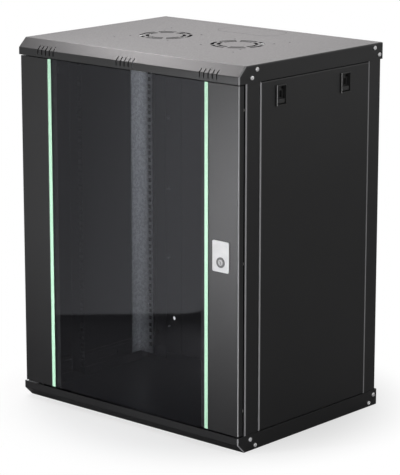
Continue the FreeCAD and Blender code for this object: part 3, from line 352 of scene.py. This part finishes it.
def dress_frame():
    """Gives each CAD node the finish of its record slot; three kinds of piece have their own."""
    finishes = {"black_coat": powder_coat(), "tinted_glass": smoked_glass(),
                "zinc": zinc_plate(), "satin_nickel": satin_nickel(), "brass": brass(),
                "black_plastic": moulded_plastic(), "tape": foam_tape(),
                "clear_rubber": clear_rubber()}
    for row in frame["record"]["subparts"]:
        name, slot = row["node"], row["material_slot"]
        dress(name, mint_strip(name) if slot == "green_strip" else finishes[slot])
    # the barrel and plug are darkened, a painted shade for the lock cylinder's ring and key slot
    dress("lock_barrel", satin_nickel("barrel_painted_shade", tone=0.05, metallic=0.4))
    dress("lock_plug", satin_nickel("plug_painted_shade", tone=0.26, metallic=0.3))


# ---- meshes --------------------------------------------------------------------------------------

SAME_POINT = 1e-6                   # corners closer than this are one
SHARP_FROM = math.radians(35.0)     # edges that bend more than this stay sharp


def stand(name, data):
    """A new object with this data, linked into the scene."""
    item = bpy.data.objects.new(name, data)
    bpy.context.scene.collection.objects.link(item)
    return item


def piece_of(cage, name, material):
    """Makes a smooth object with sharp edges of a cage, and frees the cage."""
    mesh = bpy.data.meshes.new(name)
    cage.to_mesh(mesh)
    cage.free()
    mesh.materials.append(material)
    mesh.shade_smooth()
    mesh.set_sharp_from_angle(angle=SHARP_FROM)
    return stand(name, mesh)


def islands(node):
    """The corner points of each separate solid of a CAD node, in the frame's coordinates."""
    cage = bmesh.new()
    cage.from_mesh(node.data)
    cage.transform(node.matrix_world)
    bmesh.ops.remove_doubles(cage, verts=cage.verts, dist=SAME_POINT)
    left = set(cage.verts)
    groups = []
    while left:
        frontier = [left.pop()]
        group = []
        while frontier:
            vert = frontier.pop()
            group.append(vert.co.copy())
            for edge in vert.link_edges:
                other = edge.other_vert(vert)
                if other in left:
                    left.remove(other)
                    frontier.append(other)
        groups.append(group)
    cage.free()
    return sorted(groups, key=lambda points: tuple(round(c, 5) for c in min(map(tuple, points))))


def extent(points):
    """The low and the high corner of the box round the points."""
    return [Vector([pick(p[i] for p in points) for i in range(3)]) for pick in (min, max)]


# ---- screws --------------------------------------------------------------------------------------

ROUND = 28                          # corners of a ring
RIM_SHARE = 0.97                    # points farther out than this share of the head are its rim
TIP_PLANE = 1e-5                    # points nearer than this to the tip's plane lie in it

RIDGE_PITCH = 0.0011
CREST, VALLEY = 0.35, 0.45          # the crest's place, and the valley's beyond it, in a pitch
TIP_SHARE, ROOT_SHARE = 0.55, 0.84  # radii of the tip and of a valley, in shank radii
PLAIN_NECK = 0.0002

DOME_FOOT = 0.35                    # height of the head's upright rim, in head heights
DOME_TOP = 0.68                     # radius of its flat top, in head radii
DOME_STEPS = 4
RECESS_MOUTH = (0.56, 0.13)         # half length and half width of the cross, in head radii
RECESS_BED = (0.40, 0.08)
RECESS_FLOOR = 0.35                 # height of the bed, in head heights

FIRST_TURN, NEXT_TURN = 0.4, 1.9    # how far the first cross is turned, and each next one more


def screw_place(points):
    """Matrix, head radius, head height, shank radius and length of a screw given as bare points."""
    low, high = extent(points)
    size, middle = high - low, (low + high) / 2
    axis = min(range(3), key=lambda i: abs(size[(i + 1) % 3] - size[(i + 2) % 3]))
    across = [i for i in range(3) if i != axis]

    def reach(point):
        return math.hypot(*(point[i] - middle[i] for i in across))

    head_radius = max(map(reach, points))
    rim = [p[axis] for p in points if reach(p) > RIM_SHARE * head_radius]
    side = 1.0 if sum(rim) / len(rim) > middle[axis] else -1.0
    tip, crown = (low[axis], high[axis]) if side > 0 else (high[axis], low[axis])
    seat = min(rim) if side > 0 else max(rim)
    shank = [p for p in points if abs(p[axis] - tip) < TIP_PLANE]
    outward = Vector([side if i == axis else 0.0 for i in range(3)])
    place = middle.copy()
    place[axis] = seat
    matrix = (Matrix.Translation(place)
              @ outward.to_track_quat("Z", "Y").to_matrix().to_4x4())
    return matrix, head_radius, abs(crown - seat), max(map(reach, shank)), abs(seat - tip)


def screw_profile(head, rise, shank, length):
    """Radius and height of each ring of a screw from its tip to its crown; its seat is at 0."""
    profile = [(shank * TIP_SHARE, -length)]
    ridges = max(3, round(length / RIDGE_PITCH))
    for k in range(ridges):
        crest = -length + length * (k + CREST) / ridges
        profile += [(shank, crest), (shank * ROOT_SHARE, crest + VALLEY * length / ridges)]
    profile += [(shank, -PLAIN_NECK), (shank, 0.0), (head, 0.0)]
    for k in range(DOME_STEPS + 1):
        swing = math.pi / 2 * k / DOME_STEPS
        profile.append((head * (DOME_TOP + (1 - DOME_TOP) * math.cos(swing)),
                        rise * (DOME_FOOT + (1 - DOME_FOOT) * math.sin(swing))))
    return profile


def ring(cage, radius, height):
    return [cage.verts.new((radius * math.cos(math.tau * k / ROUND),
                            radius * math.sin(math.tau * k / ROUND), height))
            for k in range(ROUND)]


def skin(cage, lower, upper):
    count = len(lower)
    for k in range(count):
        cage.faces.new((lower[k], lower[(k + 1) % count], upper[(k + 1) % count], upper[k]))


def cross(cage, head, shares, height):
    """The twelve corners of a cross recess at one height."""
    arm, half = (head * share for share in shares)
    corners = []
    for quarter in range(4):
        turn = Matrix.Rotation(math.pi / 2 * quarter, 3, "Z")
        for x, y in ((arm, -half), (arm, half), (half, half)):
            corners.append(cage.verts.new(turn @ Vector((x, y, height))))
    return corners


def add_screw(cage, points, turn):
    """A pan head screw with a cross recess and a ridged shank, standing where the points are."""
    matrix, head, rise, shank, length = screw_place(points)
    first = len(cage.verts)
    rings = [ring(cage, *level) for level in screw_profile(head, rise, shank, length)]
    for lower, upper in zip(rings, rings[1:]):
        skin(cage, lower, upper)
    cage.faces.new(list(reversed(rings[0])))
    mouth = cross(cage, head, RECESS_MOUTH, rise)
    bed = cross(cage, head, RECESS_BED, rise * RECESS_FLOOR)
    skin(cage, bed, mouth)
    for face in cage.faces[-len(mouth):]:
        face.normal_flip()
    cage.faces.new(bed)
    rim = [cage.edges.get((loop[k], loop[(k + 1) % len(loop)]))
           for loop in (rings[-1], mouth) for k in range(len(loop))]
    bmesh.ops.triangle_fill(cage, use_beauty=True, edges=rim)
    cage.verts.ensure_lookup_table()
    bmesh.ops.transform(cage, matrix=matrix @ Matrix.Rotation(turn, 4, "Z"),
                        verts=cage.verts[first:])


def add_screws(node_name, material):
    """Stands detailed screws in the places of a CAD node's plain ones."""
    cage = bmesh.new()
    for count, points in enumerate(islands(nodes[node_name])):
        add_screw(cage, points, FIRST_TURN + NEXT_TURN * count)
    bmesh.ops.recalc_face_normals(cage, faces=cage.faces)
    piece = piece_of(cage, node_name + "_detail", material)
    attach(piece, nodes[node_name]["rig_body"])
    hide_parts(node_name)


# ---- latch lips and spring -----------------------------------------------------------------------

LIP_THICKNESS = 0.0024              # front to back
LIP_SETBACK = 0.0002                # behind the latch frame's front edge
LIP_SUNK = 0.0006                   # into the latch frame's face
LIP_SHORT = 0.0003                  # of the latch frame, at each end
LIP_EDGE = 0.0005
LIP_MARGIN = 0.0004                 # from the lip's tip to the plane of the cabinet's side


def add_latch_lips(side, material):
    """A raised pale lip along the front edge of each latch frame of a side panel, a painted highlight on
    that edge.
    """
    cage = bmesh.new()
    for points in islands(nodes["latch_frames_" + side]):
        low_end, high_end = extent(points)
        hand = 1.0 if low_end.x > 0 else -1.0
        face = high_end.x if hand > 0 else low_end.x
        tip = hand * (cad_high.x - LIP_MARGIN)
        size = (abs(tip - face) + LIP_SUNK, LIP_THICKNESS, high_end.z - low_end.z - 2 * LIP_SHORT)
        middle = ((tip + face - hand * LIP_SUNK) / 2,
                  low_end.y + LIP_SETBACK + LIP_THICKNESS / 2, (low_end.z + high_end.z) / 2)
        bmesh.ops.create_cube(cage, size=1.0,
                              matrix=Matrix.Translation(middle) @ Matrix.Diagonal((*size, 1.0)))
    bmesh.ops.bevel(cage, geom=cage.edges[:], offset=LIP_EDGE, segments=3, affect="EDGES",
                    profile=0.5)
    piece = piece_of(cage, "latch_lips_" + side, material)
    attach(piece, "panel_" + side)


def add_spring():
    """Stands a copy of the hinge spring's coil in the place of the CAD one, which is hidden."""
    piece = stand("hinge_spring_coil", nodes["hinge_spring"].data.copy())
    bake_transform(piece)
    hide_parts("hinge_spring")


# ---- studio --------------------------------------------------------------------------------------

TARGET = Vector((0.001, 0.0, 0.3543))
CAMERA_AZIMUTH = math.radians(41.58)
CAMERA_ELEVATION = math.radians(13.26)
CAMERA_DISTANCE = 4.674
SENSOR_WIDTH, LENS = 36.0, 169.5    # in millimetres

ROOM_LIGHT = 0.3                    # strength of the room's light where the eye doesn't look
FLOOR_RADIUS = 12.0
FLOOR_DROP = 0.0005                 # below the cabinet's underside
UNDER_GLOW = 0.62                   # share of the floor's glow under the cabinet
SHADE_START, SHADE_END = 0.28, 0.5  # from the middle of the floor; past the end it only glows
ROOM_CARD_DROP = 0.0002             # below the other cards


def aim(item, target):
    item.rotation_euler = (target - item.location).to_track_quat("-Z", "Y").to_euler()


def add_camera():
    camera = stand("camera", bpy.data.cameras.new("camera"))
    camera.data.sensor_width = SENSOR_WIDTH
    camera.data.lens = LENS
    level = math.cos(CAMERA_ELEVATION) * CAMERA_DISTANCE
    camera.location = TARGET + Vector((math.sin(CAMERA_AZIMUTH) * level,
                                       -math.cos(CAMERA_AZIMUTH) * level,
                                       math.sin(CAMERA_ELEVATION) * CAMERA_DISTANCE))
    aim(camera, TARGET)
    bpy.context.scene.camera = camera


def add_lamp(name, place, target, size, watts, colour=(1.0, 1.0, 1.0)):
    """A softbox whose light fades out towards its edges."""
    data = bpy.data.lights.new(name, "AREA")
    data.shape = "RECTANGLE"
    data.size, data.size_y = size
    data.energy = watts
    data.color = colour
    data.use_nodes = True
    graph = Graph(data.node_tree)
    spot = graph.axes(graph.add("ShaderNodeNewGeometry").outputs["Parametric"])
    fade = graph.maths("MULTIPLY", graph.swell(spot["X"]), graph.swell(spot["Y"]))
    graph.feed(graph.tree.nodes["Emission"].inputs["Strength"], fade)
    lamp = stand(name, data)
    lamp.location = place
    lamp.visible_camera = False
    aim(lamp, Vector(target))


def add_world():
    """A room that is white to the eye and lights the cabinet faintly from all round."""
    world = bpy.data.worlds.new("studio")
    world.use_nodes = True
    graph = Graph(world.node_tree)
    background = graph.tree.nodes["Background"]
    graph.feed(background.inputs["Color"], (1.0, 1.0, 1.0, 1.0))
    graph.feed(background.inputs["Strength"], graph.to_eye(1.0, ROOM_LIGHT))
    bpy.context.scene.world = world


def add_floor():
    """A floor that glows white to the eye, with faint shadows left in under the cabinet."""
    bpy.ops.mesh.primitive_circle_add(vertices=96, radius=FLOOR_RADIUS, fill_type="NGON",
                                      location=(0.0, 0.0, cad_low.z - FLOOR_DROP))
    floor = bpy.context.object
    floor.name = "floor"
    finish = Finish("floor")
    finish.matt(0.94, 0.9)
    reach = finish.add("ShaderNodeVectorMath", {0: finish.place}, operation="LENGTH")
    glow = finish.spread(reach.outputs["Value"], UNDER_GLOW, 1.0, SHADE_START, SHADE_END,
                         "SMOOTHSTEP")
    white = finish.add("ShaderNodeEmission", {"Strength": 1.0})
    finish.mix(finish.to_eye(glow, 0.0), finish.shader.outputs["BSDF"], white.outputs["Emission"])
    floor.data.materials.append(finish.material)


def lay_card(name, corners, drop=0.0):
    """Lays a card on the floor that shows only in what mirrors it, and returns its finish."""
    mesh = bpy.data.meshes.new(name)
    mesh.from_pydata([(x, y, cad_low.z - drop) for x, y in corners], [], [range(len(corners))])
    card = stand(name, mesh)
    finish = Finish(name)
    mesh.materials.append(finish.material)
    card.visible_camera = card.visible_diffuse = card.visible_shadow = False
    card.visible_transmission = False
    return finish


def add_card(name, corners, shade):
    """A plain grey card."""
    lay_card(name, corners).matt(shade, 1.0)


def add_falling_card(name, corners, across, near, far, dimmest):
    """A white card that dims smoothly along the direction across, from near to far."""
    finish = lay_card(name, corners, ROOM_CARD_DROP)
    along = finish.add("ShaderNodeVectorMath", {0: finish.place, 1: (*across, 0.0)},
                       operation="DOT_PRODUCT")
    fall = finish.spread(along.outputs["Value"], dimmest, 1.0, far, near, "SMOOTHSTEP")
    finish.show(finish.add("ShaderNodeEmission", {"Strength": fall}).outputs["Emission"])


def add_studio():
    """The room, the floor, three cards to be mirrored, the camera and four lamps."""
    add_world()
    add_floor()
    add_card("front_card", shade=0.25,
             corners=((-0.90, -0.55), (-0.48, -0.95), (-0.48, -2.4), (0.3, -2.4), (0.3, 0.0),
                      (-0.90, 0.0)))
    mirrored_right = (0.748, -0.664)    # the camera's right, as the glass mirrors it
    add_falling_card("room_card", corners=((1.5, -0.3), (-8.0, -0.3), (-8.0, -8.0), (1.5, -8.0)),
                     across=mirrored_right, near=0.26, far=-0.14, dimmest=0.56)
    add_card("side_card", shade=0.62, corners=((0.3, -1.0), (4.5, -1.0), (4.5, 4.5), (0.3, 4.5)))
    add_camera()
    add_lamp("strip_softbox", place=(-0.25, -1.05, 0.31), target=(0.344, -0.22, 0.33),
             size=(0.12, 0.85), watts=24.0, colour=(0.97, 0.97, 1.0))
    add_lamp("key_softbox", place=(-0.52, -0.10, 1.36), target=(0.0, -0.2, 0.75),
             size=(0.90, 0.42), watts=35.0, colour=(1.0, 0.96, 0.97))
    add_lamp("roof_softbox", place=(-0.70, 0.93, 1.24), target=(0.0, 0.0, 0.77),
             size=(2.1, 1.1), watts=9.7, colour=(1.0, 0.93, 0.94))
    add_lamp("edge_softbox", place=(1.15, -1.90, 0.75), target=(0.1, 0.0, 0.4),
             size=(0.2, 1.0), watts=14.0)


# ---- the scene -----------------------------------------------------------------------------------

dress_frame()
screw_zinc = zinc_plate("screw_zinc", low=(0.84, 0.84, 0.85), high=(0.95, 0.95, 0.95),
                        metallic=0.5)
for screws in ("cover_screws", "rear_panel_screws", "hinge_bracket_screws"):
    add_screws(screws, screw_zinc)
# the latch lips are pale to paint the highlight of the latch frames' front edges
lip_highlight = lip_highlight_plastic()
for side in ("left", "right"):
    add_latch_lips(side, lip_highlight)
add_spring()
add_studio()

bpy.context.scene.view_settings.view_transform = "Standard"
